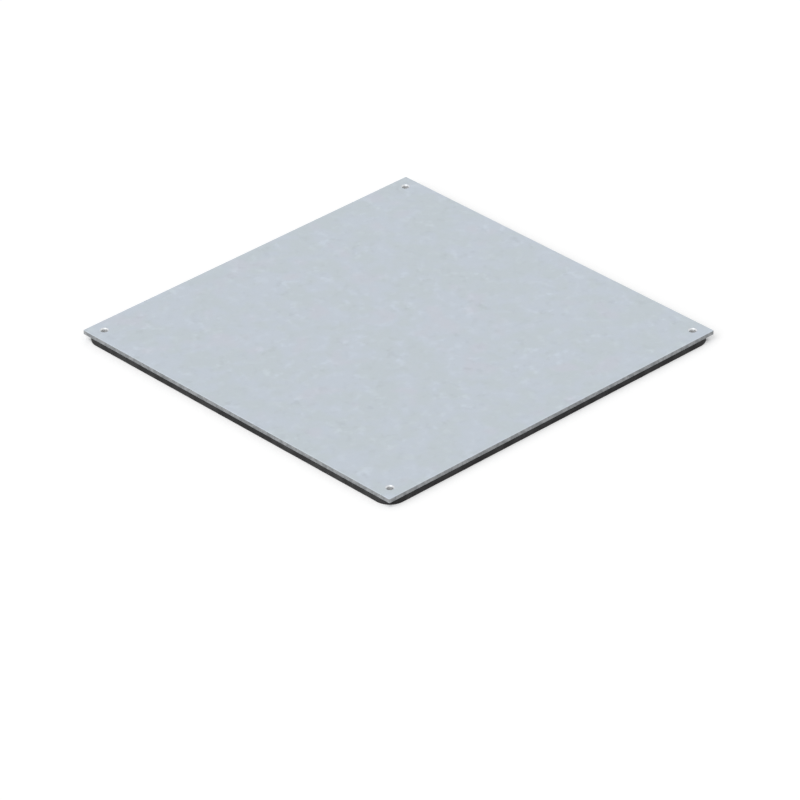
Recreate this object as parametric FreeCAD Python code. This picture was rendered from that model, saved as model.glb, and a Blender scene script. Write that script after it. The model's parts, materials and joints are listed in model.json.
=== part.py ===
import FreeCAD, Part
import math
import os

# A square floor duct cover: a galvanised steel plate that lies on an endless rubber gasket.
# The gasket stands on z = 0, and the Z axis runs through the middle of the plate. Millimetres.

# Cover plate
plate_side = 400.0
plate_thickness = 4.0
plate_corner_radius = 1.0  # plan corners, only just taken off
plate_top_rounding = 0.4  # upper edge, drawn over by the shear
plate_underside_rounding = 0.2  # lower edge, deburred

# Countersunk screw holes, one in each corner of the plate
screw_diameter = 4.0
screw_clearance = 1.0  # on the diameter, so that the cover can be lined up
head_diameter = 7.5
head_clearance = 0.5  # on the diameter
countersink_angle = 90.0  # full angle in degrees

# Sealing gasket, a strip that runs round under the plate's rim
seal_width = 8.5
seal_height = 6.0
seal_bend_radius = 7.5  # inner side of each corner bend
seal_edge_rounding = 0.5  # long edges of the strip
seal_setback = 0.2  # strip's outer side, in from the plate's edge
screw_to_seal_gap = 1.18  # hole wall to the inner side of the corner bend

# Heights of the faces
seal_top = seal_height
plate_underside = seal_top
plate_top = plate_underside + plate_thickness

# Outline of the gasket
seal_outer_side = plate_side - 2 * seal_setback
seal_inner_side = seal_outer_side - 2 * seal_width
seal_outer_radius = seal_bend_radius + seal_width

# A screw hole lies on the plate's diagonal, inside the gasket's corner bend and clear of it
bore_radius = (screw_diameter + screw_clearance) / 2
countersink_radius = (head_diameter + head_clearance) / 2
bend_centre = seal_inner_side / 2 - seal_bend_radius
hole_past_bend_centre = seal_bend_radius - bore_radius - screw_to_seal_gap
hole_offset = bend_centre + hole_past_bend_centre / math.sqrt(2)
cutter_overrun = 1.0  # how far a hole's cutter reaches past both faces


def rounded_square(side, corner_radius, bottom, top):
    """A square prism about the Z axis, with its upright edges rounded."""
    corner = FreeCAD.Vector(-side / 2, -side / 2, bottom)
    prism = Part.makeBox(side, side, top - bottom, corner)
    upright = [edge for edge in prism.Edges if edge.BoundBox.ZLength > edge.BoundBox.DiagonalLength / 2]
    return prism.makeFillet(corner_radius, upright)


def round_edges_at(solid, height, radius):
    """Rounds every edge that lies flat at this height."""
    flat = [edge for edge in solid.Edges if lies_at(edge, height)]
    return solid.makeFillet(radius, flat)


def lies_at(edge, height):
    tolerance = 1e-4
    box = edge.BoundBox
    return abs(box.ZMin - height) < tolerance and abs(box.ZMax - height) < tolerance


def screw_hole(x, y):
    """What a countersunk screw hole takes out of the plate, turned about the hole's own axis."""
    slope = math.tan(math.radians(countersink_angle / 2))
    cone_foot = plate_top - (countersink_radius - bore_radius) / slope
    low = plate_underside - cutter_overrun
    high = plate_top + cutter_overrun
    profile = [
        FreeCAD.Vector(x, y, low),
        FreeCAD.Vector(x + bore_radius, y, low),
        FreeCAD.Vector(x + bore_radius, y, cone_foot),
        FreeCAD.Vector(x + countersink_radius + cutter_overrun * slope, y, high),
        FreeCAD.Vector(x, y, high),
    ]
    section = Part.Face(Part.makePolygon(profile + profile[:1]))
    return section.revolve(profile[0], FreeCAD.Vector(0, 0, 1), 360)


def make_cover_plate():
    plate = rounded_square(plate_side, plate_corner_radius, plate_underside, plate_top)
    plate = round_edges_at(plate, plate_top, plate_top_rounding)
    plate = round_edges_at(plate, plate_underside, plate_underside_rounding)
    for x in (-hole_offset, hole_offset):
        for y in (-hole_offset, hole_offset):
            plate = plate.cut(screw_hole(x, y))
    return plate


def make_sealing_gasket():
    ring = rounded_square(seal_outer_side, seal_outer_radius, 0, seal_top)
    ring = ring.cut(rounded_square(seal_inner_side, seal_bend_radius, 0, seal_top))
    ring = round_edges_at(ring, 0, seal_edge_rounding)
    return round_edges_at(ring, seal_top, seal_edge_rounding)


def main():
    os.makedirs("parts", exist_ok=True)
    make_cover_plate().exportStep("parts/cover_plate.step")
    make_sealing_gasket().exportStep("parts/sealing_gasket.step")


main()
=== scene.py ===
import json
import math

import bmesh
import bpy
from mathutils import Matrix, Vector


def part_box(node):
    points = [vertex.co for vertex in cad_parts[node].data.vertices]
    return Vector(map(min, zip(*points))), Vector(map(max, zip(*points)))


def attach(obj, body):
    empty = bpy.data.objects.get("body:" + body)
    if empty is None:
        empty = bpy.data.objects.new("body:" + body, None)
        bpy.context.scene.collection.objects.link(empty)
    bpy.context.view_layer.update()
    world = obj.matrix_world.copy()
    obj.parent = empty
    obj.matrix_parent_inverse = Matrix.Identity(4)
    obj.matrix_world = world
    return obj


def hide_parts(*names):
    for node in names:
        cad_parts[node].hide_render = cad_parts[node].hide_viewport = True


# A square floor duct cover: a galvanised steel plate that lies on an endless rubber gasket
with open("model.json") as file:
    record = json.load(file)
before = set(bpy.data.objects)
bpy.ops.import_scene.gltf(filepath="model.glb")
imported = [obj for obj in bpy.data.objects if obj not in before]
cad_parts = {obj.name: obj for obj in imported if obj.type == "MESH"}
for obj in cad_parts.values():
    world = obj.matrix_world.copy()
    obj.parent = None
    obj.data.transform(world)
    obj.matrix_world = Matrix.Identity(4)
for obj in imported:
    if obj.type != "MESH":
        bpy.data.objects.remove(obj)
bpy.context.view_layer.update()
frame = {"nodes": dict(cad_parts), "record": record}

# The cover's sizes, read from the frame, in metres
plate_low, plate_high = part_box("cover_plate")
seal_low, seal_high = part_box("sealing_gasket")
plate_side = plate_high.x - plate_low.x
seal_side = seal_high.x - seal_low.x
seal_height = seal_high.z - seal_low.z
mounts = {mount["name"]: mount for mount in frame["record"]["mounts"]}
hole_sizes = mounts["screw_holes"]["dims"]
hole_offset = hole_sizes["spacing_x_mm"] / 2000
bore_radius = hole_sizes["hole_r_mm"] / 1000

# The gasket strip, in metres
SEAL_WIDTH = 0.0085
SEAL_CORNER_RADIUS = 0.016  # outer side of each bend
SEAL_EDGE_ROUNDING = 0.0005
SEAL_UNEVENNESS = 0.00016  # how far the skin sinks at most
SEAL_WAVE_LENGTH = 0.014
BEND_STEPS = 16
RUN_CUTS = 100  # across each straight run
ROUNDING_STEPS = 4
LONG_EDGE_ANGLE = math.radians(60)  # the strip's long edges are sharper than this
SMOOTH_ANGLE = math.radians(40)  # edges flatter than this are shaded smooth

# Soft patches: size in metres, detail, and the noise levels at which a patch begins and is full
ZINC_CLOUDS = (0.022, 2.0, 0.36, 0.64)
WARM_PATCHES = (0.028, 1.0, 0.58, 0.74)
EDGE_BLOTCHES = (0.0050, 2.0, 0.36, 0.64)
EDGE_STREAKS = (0.0007, 3.0, 0.30, 0.70)
RUBBER_BLOOM = (0.012, 4.0, 0.35, 0.70)
DIE_LINES = (0.0009, 2.0, 0.32, 0.68)

# The zinc's colours, as red, green, blue and full cover, and its sizes in metres
ZINC_GREY = (0.581, 0.635, 0.673, 1.0)
ZINC_BLUE = (0.586, 0.637, 0.698, 1.0)
ZINC_WARM = (0.598, 0.632, 0.691, 1.0)
CRYSTAL_SIZE = 0.007
FLECK_SIZE = 0.0105
FLECK_CLUSTER_SPACING = 0.055
ZINC_GRAIN_SIZE = 0.00016
# Width of the painted highlight along the plate's rim
RIM_HIGHLIGHT_WIDTH = 0.0015

# How pale and how rough the zinc is, what each mark adds to that, and how high it stands in metres
ZINC_TONE = 0.881
CRYSTAL_TONE = 0.020
FEATHER_TONE = 0.10
ZINC_GRAIN_TONE = 0.10
CLOUD_TONE = 0.009
PALE_FLECK_TONE = 0.082
DARK_FLECK_TONE = -0.074
# How much brighter the painted rim highlight makes the zinc
RIM_HIGHLIGHT_TONE = 0.05
ZINC_ROUGHNESS = 0.50
CRYSTAL_ROUGHNESS = 0.08
FEATHER_ROUGHNESS = 0.12
PALE_FLECK_HEIGHT = 0.000006
FEATHER_HEIGHT = 0.000004
ZINC_GRAIN_HEIGHT = 0.000002
LYING_METAL = 0.85  # the sheet's faces and the cones of its holes

# The screw holes: a turned cone over a bore
COUNTERSINK_RADIUS = 0.004
COUNTERSINK_BLUR = 0.00005  # each side of the cone's upper edge
# Painted shade: the cone is painted darker over this width above the bore
CONE_SHADE_WIDTH = 0.0009
CONE_BRIGHT = (0.74, 0.76, 0.78, 1.0)
# The painted shade at the foot of the cone
CONE_PAINTED_SHADE = (0.26, 0.27, 0.28, 1.0)
CONE_ROUGHNESS = 0.34
TURNING_PITCH = 0.00024
TURNING_TONE = 0.03
TURNING_HEIGHT = 0.000003
# The bore's bare steel, painted pale grey as painted light from below
BORE_PAINTED_LIGHT_GREY = (0.80, 0.81, 0.82, 1.0)
BORE_METAL = 0.40

# The sheared edges, which are told from the lying faces by how much of their normal points up
LYING_SLOPE = 0.62
UPRIGHT_SLOPE = 0.25
STEEL_DARK = (0.262, 0.274, 0.286, 1.0)
STEEL_PALE = (0.368, 0.381, 0.394, 1.0)
EDGE_STREAK_SQUEEZE = (1.0, 1.0, 0.15)  # draws the streaks out down the cut
EDGE_GRAIN_SIZE = 0.0016
EDGE_TONE = 0.70
EDGE_GRAIN_TONE = 0.40
EDGE_STREAK_TONE = 0.20
EDGE_GRAIN_HEIGHT = 0.00005
EDGE_STREAK_HEIGHT = 0.00001
EDGE_METAL = 0.55
CUT_ROUGHNESS = 0.55  # the edges and the bores

# The rubber
RUBBER_DARK = (0.029, 0.029, 0.030, 1.0)
RUBBER_PALE = (0.053, 0.053, 0.054, 1.0)
DIE_LINE_SQUEEZE = (0.03, 0.03, 1.0)  # draws the lines out along the strip
RUBBER_GRAIN_SIZE = 0.0009
RUBBER_TONE = 0.45
RUBBER_GRAIN_TONE = 0.90
DIE_LINE_TONE = 0.20
RUBBER_ROUGHNESS = 0.75
RUBBER_GRAIN_ROUGHNESS = 0.15
RUBBER_GRAIN_HEIGHT = 0.00008
DIE_LINE_HEIGHT = 0.00004
RUBBER_SHINE = 0.25

# The view, solved from the plate's four corners: angles in degrees, lengths in plate sides
VIEW_AZIMUTH = -42.996
VIEW_ELEVATION = 31.401
VIEW_ROLL = -0.9956
VIEW_DISTANCE = 12.3705
VIEW_SIDEWAYS = 0.0045
VIEW_UPWARD = -0.1565
VIEW_REACH = 100  # metres
SENSOR_WIDTH_MM = 36.0
LENS_MM = 248.46

# Light, with directions that point from the cover to the lamp
KEY_DIRECTION = Vector((-0.78, -0.10, 0.62))
KEY_SPREAD = math.radians(60)
KEY_STRENGTH = 1.35
GLINT_DIRECTION = Vector((-0.53, -0.15, 0.83))
GLINT_SPREAD = math.radians(45)
GLINT_STRENGTH = 0.30
SKY_LEVEL = 0.55
SKY_LEVEL_SEEN = 1.0
FLOOR_SIZE = 14.0
FLOOR_GREY = 0.5  # for the light that it throws back on the cover
FLOOR_GREY_SEEN = 0.86
FLOOR_LIFT = 0.27  # added where it is seen, so that the open floor is white


# Helpers for node trees


def feed(tree, socket, value):
    """Links an input to another socket, or sets it to a plain value."""
    if isinstance(value, bpy.types.NodeSocket):
        tree.links.new(value, socket)
    else:
        socket.default_value = value


def add_node(tree, kind, inputs=None, **settings):
    """Adds a node with its settings, and feeds its inputs, which go by name or number."""
    made = tree.nodes.new(kind)
    for name, value in settings.items():
        setattr(made, name, value)
    for name, value in (inputs or {}).items():
        feed(tree, made.inputs[name], value)
    return made


def calc(tree, operation, *values):
    """The result of a Math node on up to three numbers or sockets."""
    inputs = dict(enumerate(values))
    return add_node(tree, "ShaderNodeMath", inputs, operation=operation).outputs[0]


def calc_vector(tree, operation, *values, output="Vector", **named):
    """The result of a Vector Math node."""
    inputs = {**dict(enumerate(values)), **named}
    return add_node(tree, "ShaderNodeVectorMath", inputs, operation=operation).outputs[output]


def add_up(tree, start, *shares):
    """A sum that begins at start, to which each share adds its mask times its amount."""
    total = start
    for mask, amount in shares:
        total = calc(tree, "MULTIPLY_ADD", mask, amount, total)
    return total


def ramp(tree, value, low, high, to_low=0.0, to_high=1.0):
    """A smooth step of value, from to_low at low to to_high at high."""
    limits = {"From Min": low, "From Max": high, "To Min": to_low, "To Max": to_high}
    inputs = {"Value": value, **limits}
    step = add_node(tree, "ShaderNodeMapRange", inputs, interpolation_type="SMOOTHSTEP")
    return step.outputs["Result"]


def blend_value(tree, factor, first, second):
    """Two numbers mixed by factor."""
    inputs = {"Factor": factor, "A": first, "B": second}
    return add_node(tree, "ShaderNodeMix", inputs, data_type="FLOAT").outputs["Result"]


def blend_colour(tree, factor, first, second, kind="MIX"):
    """Two colours mixed by factor."""
    mix = add_node(tree, "ShaderNodeMix", data_type="RGBA", blend_type=kind)
    sockets = {socket.identifier: socket for socket in mix.inputs}
    feed(tree, sockets["Factor_Float"], factor)
    feed(tree, sockets["A_Color"], first)
    feed(tree, sockets["B_Color"], second)
    return next(socket for socket in mix.outputs if socket.identifier == "Result_Color")


def shade(tree, colour, tone):
    """A colour made paler or darker by a tone."""
    return blend_colour(tree, 1.0, colour, tone, "MULTIPLY")


def grey(level):
    """A grey as a colour with full cover."""
    return (level, level, level, 1.0)


def split(tree, vector):
    """The X, Y and Z of a vector."""
    return add_node(tree, "ShaderNodeSeparateXYZ", {"Vector": vector}).outputs


def square_reach(tree, place):
    """How far out a place lies from the middle, measured square to the plate's edges."""
    sides = split(tree, calc_vector(tree, "ABSOLUTE", place))
    return calc(tree, "MAXIMUM", sides["X"], sides["Y"])


def scale_for(tree, size):
    """The texture scale that gives marks of a size."""
    return calc(tree, "DIVIDE", 1.0, size)


def noise(tree, place, scale, detail):
    """The outputs of a cloudy noise."""
    inputs = {"Vector": place, "Scale": scale, "Detail": detail}
    return add_node(tree, "ShaderNodeTexNoise", inputs).outputs


def new_group(name, inputs, outputs):
    """An empty node group for a place and some numbers, with the sockets of its inner ends."""
    group = bpy.data.node_groups.new(name, "ShaderNodeTree")
    group.interface.new_socket("Vector", in_out="INPUT", socket_type="NodeSocketVector")
    for socket in inputs:
        group.interface.new_socket(socket, in_out="INPUT", socket_type="NodeSocketFloat")
    for socket in outputs:
        group.interface.new_socket(socket, in_out="OUTPUT", socket_type="NodeSocketFloat")
    given = group.nodes.new("NodeGroupInput").outputs
    result = group.nodes.new("NodeGroupOutput").inputs
    return group, given, result


def use_group(tree, group, inputs):
    """The outputs of a group that is placed in a tree with these inputs."""
    return add_node(tree, "ShaderNodeGroup", inputs, node_tree=group).outputs


def empty_tree(owner):
    """The node tree of a new material or world, with nothing in it."""
    owner.use_nodes = True
    owner.node_tree.nodes.clear()
    return owner.node_tree


# Effects that the finishes use


def make_mottle_group():
    """Soft patches: a cloudy noise, stretched between two of its levels to a mask."""
    inputs = ["Patch Size", "Detail", "Low", "High"]
    group, given, result = new_group("Soft mottle", inputs, ["Mask"])
    scale = scale_for(group, given["Patch Size"])
    level = noise(group, given["Vector"], scale, given["Detail"])["Fac"]
    feed(group, result["Mask"], ramp(group, level, given["Low"], given["High"]))
    return group


def make_grain_group():
    """Fine grain: small pits and specks of a given size, as a height and as a tone."""
    pit_share = 0.6
    group, given, result = new_group("Fine grain", ["Grain Size"], ["Height", "Tone"])
    scale = scale_for(group, given["Grain Size"])
    pits = add_node(group, "ShaderNodeTexVoronoi", {"Vector": given["Vector"], "Scale": scale})
    specks = noise(group, given["Vector"], scale, detail=3.0)["Fac"]
    height = calc(group, "MULTIPLY_ADD", pits.outputs["Distance"], pit_share, specks)
    feed(group, result["Height"], height)
    feed(group, result["Tone"], specks)
    return group


def make_spangle_group():
    """Zinc crystals: uneven cells, each with a tone and a direction of feathering of its own."""
    drift_scale = 1.3
    feather_squeeze = (2.0, 16.0, 1.0)
    group, given, result = new_group("Zinc spangle", ["Crystal Size"], ["Tone", "Feather"])
    scale = scale_for(group, given["Crystal Size"])
    scaled = calc_vector(group, "SCALE", given["Vector"], Scale=scale)
    drift = noise(group, scaled, drift_scale, detail=3.0)["Color"]
    bent = calc_vector(group, "ADD", drift, scaled)
    cells = add_node(group, "ShaderNodeTexVoronoi", {"Vector": bent, "Scale": 1.0})
    chance = add_node(group, "ShaderNodeSeparateColor", {"Color": cells.outputs["Color"]}).outputs
    turn_inputs = {"Vector": scaled, "Angle": calc(group, "MULTIPLY", chance["Green"], 2 * math.pi)}
    turned = add_node(group, "ShaderNodeVectorRotate", turn_inputs, rotation_type="Z_AXIS")
    along = calc_vector(group, "MULTIPLY", turned.outputs["Vector"], feather_squeeze)
    feed(group, result["Tone"], chance["Red"])
    feed(group, result["Feather"], noise(group, along, 1.0, detail=3.0)["Fac"])
    return group


def make_fleck_group():
    """Small pale zinc flecks with a few dark ones between them, thickest in scattered clusters."""
    cluster_edge, cluster_heart = 0.42, 0.12  # how far from a cluster's middle, in spacings
    thin = 0.45  # how much is left of the flecks between the clusters
    pale_levels, dark_levels = (0.50, 0.74), (0.52, 0.76)
    dark_shift = (0.31, 0.17, 0.0)  # so that the dark flecks don't lie on the pale ones
    inputs = ["Fleck Size", "Cluster Spacing"]
    group, given, result = new_group("Zinc flecks", inputs, ["Pale", "Dark"])
    spread = scale_for(group, given["Cluster Spacing"])
    cell_inputs = {"Vector": given["Vector"], "Scale": spread, "Randomness": 0.7}
    cells = add_node(group, "ShaderNodeTexVoronoi", cell_inputs, voronoi_dimensions="2D")
    cluster = ramp(group, cells.outputs["Distance"], cluster_edge, cluster_heart, thin, 1.0)
    scale = scale_for(group, given["Fleck Size"])
    elsewhere = calc_vector(group, "ADD", given["Vector"], dark_shift)
    scatters = (("Pale", given["Vector"], pale_levels), ("Dark", elsewhere, dark_levels))
    for name, place, (low, high) in scatters:
        scattered = ramp(group, noise(group, place, scale, detail=2.0)["Fac"], low, high)
        feed(group, result[name], calc(group, "MULTIPLY", scattered, cluster))
    return group


def make_hole_group():
    """Distance from the axis of the nearest screw hole."""
    group, given, result = new_group("Screw hole distance", [], ["Radius"])
    quarter = calc_vector(group, "ABSOLUTE", given["Vector"])
    flat = calc_vector(group, "MULTIPLY", quarter, (1.0, 1.0, 0.0))
    axis = (hole_offset, hole_offset, 0.0)
    feed(group, result["Radius"], calc_vector(group, "DISTANCE", flat, axis, output="Value"))
    return group


mottle = make_mottle_group()
grain = make_grain_group()
spangle = make_spangle_group()
flecks = make_fleck_group()
hole_distance = make_hole_group()


def soft_patches(tree, place, patches):
    """The mask of soft patches with the sizes and levels that a finish gives them."""
    size, detail, low, high = patches
    inputs = {"Vector": place, "Patch Size": size, "Detail": detail, "Low": low, "High": high}
    return use_group(tree, mottle, inputs)["Mask"]


def fine_grain(tree, place, size):
    """The height and the tone of a grain of this size."""
    return use_group(tree, grain, {"Vector": place, "Grain Size": size})


# Finishes


def new_material(name):
    """A material with only its surface shader and the object's own coordinates."""
    material = bpy.data.materials.new(name)
    tree = empty_tree(material)
    shader = add_node(tree, "ShaderNodeBsdfPrincipled")
    add_node(tree, "ShaderNodeOutputMaterial", {"Surface": shader.outputs["BSDF"]})
    place = add_node(tree, "ShaderNodeTexCoord").outputs["Object"]
    return material, tree, shader, place


def add_bump(tree, shader, height):
    """Bends the shader's normal by a height in metres."""
    bump = add_node(tree, "ShaderNodeBump", {"Height": height, "Strength": 1.0, "Distance": 1.0})
    feed(tree, shader.inputs["Normal"], bump.outputs["Normal"])


def zinc_face(tree, place):
    """The sheet's faces: close tints in soft clouds, faint crystals and clustered flecks."""
    clouds = soft_patches(tree, place, ZINC_CLOUDS)
    warm = soft_patches(tree, place, WARM_PATCHES)
    crystals = use_group(tree, spangle, {"Vector": place, "Crystal Size": CRYSTAL_SIZE})
    fleck_sizes = {"Fleck Size": FLECK_SIZE, "Cluster Spacing": FLECK_CLUSTER_SPACING}
    fleck = use_group(tree, flecks, {"Vector": place, **fleck_sizes})
    fine = fine_grain(tree, place, ZINC_GRAIN_SIZE)

    # A painted highlight: the rim of the plate is painted a little brighter all round
    rim_highlight_start = plate_side / 2 - RIM_HIGHLIGHT_WIDTH
    painted_rim_highlight = ramp(tree, square_reach(tree, place), rim_highlight_start, rim_highlight_start + RIM_HIGHLIGHT_WIDTH / 2)

    colour = blend_colour(tree, clouds, ZINC_GREY, ZINC_BLUE)
    colour = blend_colour(tree, warm, colour, ZINC_WARM)
    tone = add_up(
        tree,
        ZINC_TONE,
        (crystals["Tone"], CRYSTAL_TONE),
        (crystals["Feather"], FEATHER_TONE),
        (fine["Tone"], ZINC_GRAIN_TONE),
        (clouds, CLOUD_TONE),
        (fleck["Pale"], PALE_FLECK_TONE),
        (fleck["Dark"], DARK_FLECK_TONE),
        (painted_rim_highlight, RIM_HIGHLIGHT_TONE),
    )
    roughness = add_up(
        tree,
        ZINC_ROUGHNESS,
        (crystals["Tone"], CRYSTAL_ROUGHNESS),
        (crystals["Feather"], FEATHER_ROUGHNESS),
    )
    height = add_up(
        tree,
        0.0,
        (fleck["Pale"], PALE_FLECK_HEIGHT),
        (crystals["Feather"], FEATHER_HEIGHT),
        (fine["Height"], ZINC_GRAIN_HEIGHT),
    )
    return shade(tree, colour, tone), roughness, height


def countersunk_hole(tree, radius, upright):
    """The screw holes: a turned cone, bright at the top and painted darker further down as painted
    shade, over a bore painted pale grey as painted light.
    """
    # Painted shade: the cone is painted darker towards the bore
    painted_cone_shade = ramp(tree, radius, bore_radius + CONE_SHADE_WIDTH, bore_radius)
    rings = calc(tree, "SINE", calc(tree, "MULTIPLY", radius, 2 * math.pi / TURNING_PITCH))
    cone = blend_colour(tree, painted_cone_shade, CONE_BRIGHT, CONE_PAINTED_SHADE)
    cone = shade(tree, cone, add_up(tree, 1.0, (rings, TURNING_TONE)))
    # Painted light: the bore is painted pale grey
    colour = blend_colour(tree, upright, cone, BORE_PAINTED_LIGHT_GREY)
    return colour, calc(tree, "MULTIPLY", rings, TURNING_HEIGHT)


def cut_edge(tree, place):
    """The sheared edges: bare steel, dull and blotchy, with fine streaks down the cut."""
    blotches = soft_patches(tree, place, EDGE_BLOTCHES)
    along_cut = calc_vector(tree, "MULTIPLY", place, EDGE_STREAK_SQUEEZE)
    streaks = soft_patches(tree, along_cut, EDGE_STREAKS)
    rough = fine_grain(tree, place, EDGE_GRAIN_SIZE)
    colour = blend_colour(tree, blotches, STEEL_DARK, STEEL_PALE)
    tone = add_up(tree, EDGE_TONE, (rough["Tone"], EDGE_GRAIN_TONE), (streaks, EDGE_STREAK_TONE))
    heights = (rough["Height"], EDGE_GRAIN_HEIGHT), (streaks, EDGE_STREAK_HEIGHT)
    return shade(tree, colour, tone), add_up(tree, 0.0, *heights)


def make_galvanised_sheet():
    """Zinc-coated sheet, with bare steel on its cut edges and turned screw holes."""
    material, tree, shader, place = new_material("galvanised_sheet")
    normal = add_node(tree, "ShaderNodeNewGeometry").outputs["Normal"]
    slope = calc(tree, "ABSOLUTE", split(tree, normal)["Z"])
    upright = ramp(tree, slope, LYING_SLOPE, UPRIGHT_SLOPE)
    radius = use_group(tree, hole_distance, {"Vector": place})["Radius"]
    outside = COUNTERSINK_RADIUS + COUNTERSINK_BLUR
    inside = COUNTERSINK_RADIUS - COUNTERSINK_BLUR
    in_hole = ramp(tree, radius, outside, inside)

    face_colour, face_roughness, face_height = zinc_face(tree, place)
    hole_colour, hole_height = countersunk_hole(tree, radius, upright)
    edge_colour, edge_height = cut_edge(tree, place)
    colour = blend_colour(tree, upright, face_colour, edge_colour)
    colour = blend_colour(tree, in_hole, colour, hole_colour)
    lying_roughness = blend_value(tree, in_hole, face_roughness, CONE_ROUGHNESS)
    roughness = blend_value(tree, upright, lying_roughness, CUT_ROUGHNESS)
    upright_metal = blend_value(tree, in_hole, EDGE_METAL, BORE_METAL)
    metal = blend_value(tree, upright, LYING_METAL, upright_metal)
    outer_height = blend_value(tree, upright, face_height, edge_height)
    height = blend_value(tree, in_hole, outer_height, hole_height)
    feed(tree, shader.inputs["Base Color"], colour)
    feed(tree, shader.inputs["Roughness"], roughness)
    feed(tree, shader.inputs["Metallic"], metal)
    add_bump(tree, shader, height)
    return material


def make_gasket_rubber():
    """Matte black rubber with a fine, slightly open grain and faint lines along the strip."""
    material, tree, shader, place = new_material("gasket_rubber")
    bloom = soft_patches(tree, place, RUBBER_BLOOM)
    fine = fine_grain(tree, place, RUBBER_GRAIN_SIZE)
    along_strip = calc_vector(tree, "MULTIPLY", place, DIE_LINE_SQUEEZE)
    lines = soft_patches(tree, along_strip, DIE_LINES)
    colour = blend_colour(tree, bloom, RUBBER_DARK, RUBBER_PALE)
    tone = add_up(tree, RUBBER_TONE, (fine["Tone"], RUBBER_GRAIN_TONE), (lines, DIE_LINE_TONE))
    roughness = add_up(tree, RUBBER_ROUGHNESS, (fine["Tone"], RUBBER_GRAIN_ROUGHNESS))
    heights = (fine["Height"], RUBBER_GRAIN_HEIGHT), (lines, DIE_LINE_HEIGHT)
    feed(tree, shader.inputs["Base Color"], shade(tree, colour, tone))
    feed(tree, shader.inputs["Roughness"], roughness)
    feed(tree, shader.inputs["Specular IOR Level"], RUBBER_SHINE)
    add_bump(tree, shader, add_up(tree, 0.0, *heights))
    return material


# The gasket


def select_edges(piece, chosen):
    """In edit mode, selects just the edges that pass the test."""
    bpy.ops.mesh.select_mode(type="EDGE")
    bpy.ops.mesh.select_all(action="DESELECT")
    mesh = bmesh.from_edit_mesh(piece.data)
    for edge in mesh.edges:
        edge.select_set(chosen(edge))
    bmesh.update_edit_mesh(piece.data)


def make_gasket():
    """The endless strip: a square rim with round corners, raised to its height and softened."""
    bpy.ops.object.select_all(action="DESELECT")
    bpy.ops.mesh.primitive_plane_add(size=seal_side, location=(0, 0, seal_low.z))
    gasket = bpy.context.object
    gasket.name = "rubber_gasket"
    bpy.ops.object.transform_apply(location=True)
    bpy.ops.object.mode_set(mode="EDIT")
    bpy.ops.mesh.select_all(action="SELECT")
    bpy.ops.mesh.bevel(offset=SEAL_CORNER_RADIUS, segments=BEND_STEPS, affect="VERTICES")
    bpy.ops.mesh.select_mode(type="FACE")
    bpy.ops.mesh.select_all(action="SELECT")
    bpy.ops.mesh.inset(thickness=SEAL_WIDTH, use_even_offset=True)
    bpy.ops.mesh.delete(type="FACE")

    # The straight runs are cut across, so that the strip can be a little uneven along them
    select_edges(gasket, lambda edge: edge.calc_length() > seal_side / 2)
    bpy.ops.mesh.subdivide(number_cuts=RUN_CUTS)
    bpy.ops.mesh.select_all(action="SELECT")
    bpy.ops.mesh.extrude_region_move(TRANSFORM_OT_translate={"value": (0, 0, seal_height)})
    bpy.ops.mesh.select_all(action="SELECT")
    bpy.ops.mesh.normals_make_consistent(inside=False)

    # The four long edges of the strip are rounded
    bpy.ops.mesh.select_all(action="DESELECT")
    bpy.ops.mesh.edges_select_sharp(sharpness=LONG_EDGE_ANGLE)
    bpy.ops.mesh.bevel(offset=SEAL_EDGE_ROUNDING, segments=ROUNDING_STEPS, affect="EDGES")
    bpy.ops.object.mode_set(mode="OBJECT")

    # Rubber is never quite straight: the skin sinks a little here and there
    waves = bpy.data.textures.new("strip_waves", "CLOUDS")
    waves.noise_scale = SEAL_WAVE_LENGTH
    sink = gasket.modifiers.new("strip_waves", "DISPLACE")
    sink.texture = waves
    sink.texture_coords = "LOCAL"
    sink.mid_level = 1.0
    sink.strength = SEAL_UNEVENNESS
    bpy.ops.object.modifier_apply(modifier=sink.name)
    bpy.ops.object.shade_smooth_by_angle(angle=SMOOTH_ANGLE)
    return gasket


# The stage


def seen_directly(tree):
    """1 for rays from the camera and for what metal and glass show, 0 for the light itself."""
    path = add_node(tree, "ShaderNodeLightPath").outputs
    seen = calc(tree, "MAXIMUM", path["Is Camera Ray"], path["Is Glossy Ray"])
    return calc(tree, "MAXIMUM", seen, path["Is Transmission Ray"])


def make_floor():
    """The pale floor, which looks white round the cover and keeps its soft shadow."""
    bpy.ops.object.select_all(action="DESELECT")
    bpy.ops.mesh.primitive_plane_add(size=FLOOR_SIZE, location=(0, 0, seal_low.z))
    floor = bpy.context.object
    floor.name = "floor"
    material = bpy.data.materials.new("pale_floor")
    tree = empty_tree(material)
    place = add_node(tree, "ShaderNodeTexCoord").outputs["Object"]
    seal_outside = seal_side / 2
    seal_inside = seal_outside - SEAL_WIDTH
    open_floor = ramp(tree, square_reach(tree, place), seal_inside, seal_outside)
    pale = calc(tree, "MULTIPLY", seen_directly(tree), open_floor)
    colour = blend_colour(tree, pale, grey(FLOOR_GREY), grey(FLOOR_GREY_SEEN))
    matte = add_node(tree, "ShaderNodeBsdfDiffuse", {"Color": colour})
    lift = calc(tree, "MULTIPLY", pale, FLOOR_LIFT)
    glow = add_node(tree, "ShaderNodeEmission", {"Color": grey(1.0), "Strength": lift})
    both = add_node(tree, "ShaderNodeAddShader", {0: matte.outputs[0], 1: glow.outputs[0]})
    add_node(tree, "ShaderNodeOutputMaterial", {"Surface": both.outputs[0]})
    floor.data.materials.append(material)


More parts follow.
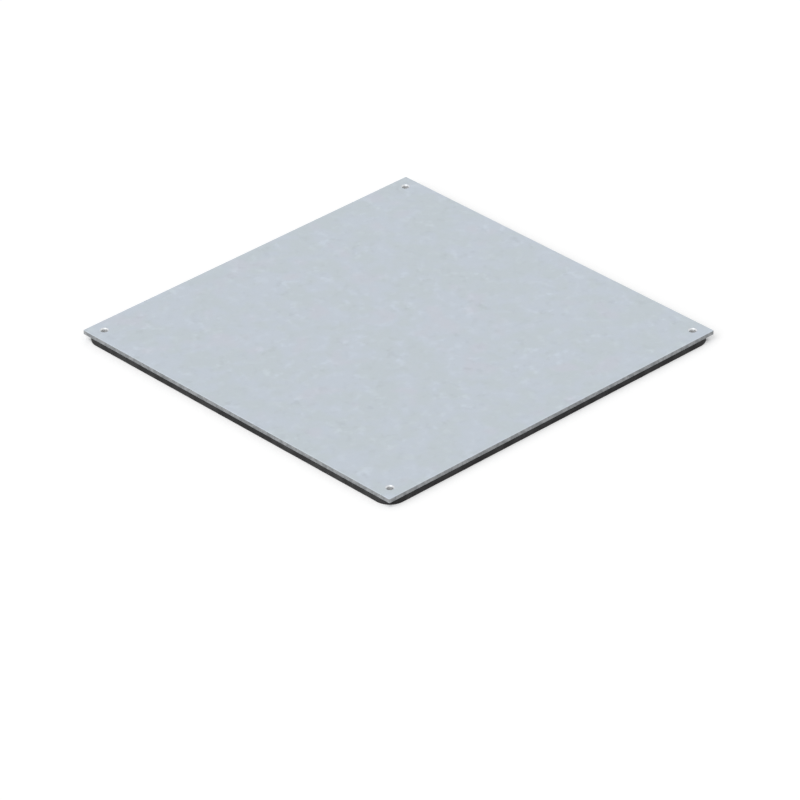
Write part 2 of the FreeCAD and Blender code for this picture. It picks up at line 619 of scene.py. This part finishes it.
def make_sky():
    """An even white surround that lights the cover softly."""
    world = bpy.data.worlds.new("studio")
    bpy.context.scene.world = world
    tree = empty_tree(world)
    white = grey(1.0)
    light = add_node(tree, "ShaderNodeBackground", {"Color": white, "Strength": SKY_LEVEL})
    seen = add_node(tree, "ShaderNodeBackground", {"Color": white, "Strength": SKY_LEVEL_SEEN})
    mix_inputs = {0: seen_directly(tree), 1: light.outputs[0], 2: seen.outputs[0]}
    mix = add_node(tree, "ShaderNodeMixShader", mix_inputs)
    add_node(tree, "ShaderNodeOutputWorld", {"Surface": mix.outputs[0]})


def make_lamp(name, direction, spread, strength, mirrored):
    """A soft light that is even over the whole floor, and that metal mirrors or doesn't."""
    lamp = bpy.data.lights.new(name, "SUN")
    lamp.energy = strength
    lamp.angle = spread
    holder = bpy.data.objects.new(name, lamp)
    bpy.context.scene.collection.objects.link(holder)
    holder.visible_glossy = mirrored
    holder.rotation_euler = direction.to_track_quat("Z", "Y").to_euler()


def make_camera():
    """The view that the photograph was taken from, so that the plate lies where it does there."""
    azimuth = math.radians(VIEW_AZIMUTH)
    elevation = math.radians(VIEW_ELEVATION)
    roll = math.radians(VIEW_ROLL)
    flat_back = Vector((math.sin(azimuth), -math.cos(azimuth), 0))
    back = flat_back * math.cos(elevation) + Vector((0, 0, math.sin(elevation)))
    level = Vector((math.cos(azimuth), math.sin(azimuth), 0))
    upward = back.cross(level)
    right = level * math.cos(roll) + upward * math.sin(roll)
    up = upward * math.cos(roll) - level * math.sin(roll)
    target = Vector((0, 0, plate_high.z))
    offset = back * VIEW_DISTANCE + right * VIEW_SIDEWAYS + up * VIEW_UPWARD
    eye = target + plate_side * offset
    data = bpy.data.cameras.new("view")
    data.sensor_width = SENSOR_WIDTH_MM
    data.lens = LENS_MM
    data.clip_end = VIEW_REACH
    camera = bpy.data.objects.new("view", data)
    bpy.context.scene.collection.objects.link(camera)
    turn = Matrix((right, up, back)).transposed().to_4x4()
    camera.matrix_world = Matrix.Translation(eye) @ turn
    bpy.context.scene.camera = camera


# The cover and its stage, put together
plate = frame["nodes"]["cover_plate"]
plate.data.materials.clear()
plate.data.materials.append(make_galvanised_sheet())

gasket = make_gasket()
gasket.data.materials.append(make_gasket_rubber())
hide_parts("sealing_gasket")
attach(gasket, "root")

make_floor()
make_sky()
make_lamp("key_lamp", KEY_DIRECTION, KEY_SPREAD, KEY_STRENGTH, mirrored=False)
make_lamp("glint_lamp", GLINT_DIRECTION, GLINT_SPREAD, GLINT_STRENGTH, mirrored=True)
make_camera()
bpy.context.scene.view_settings.view_transform = "Standard"
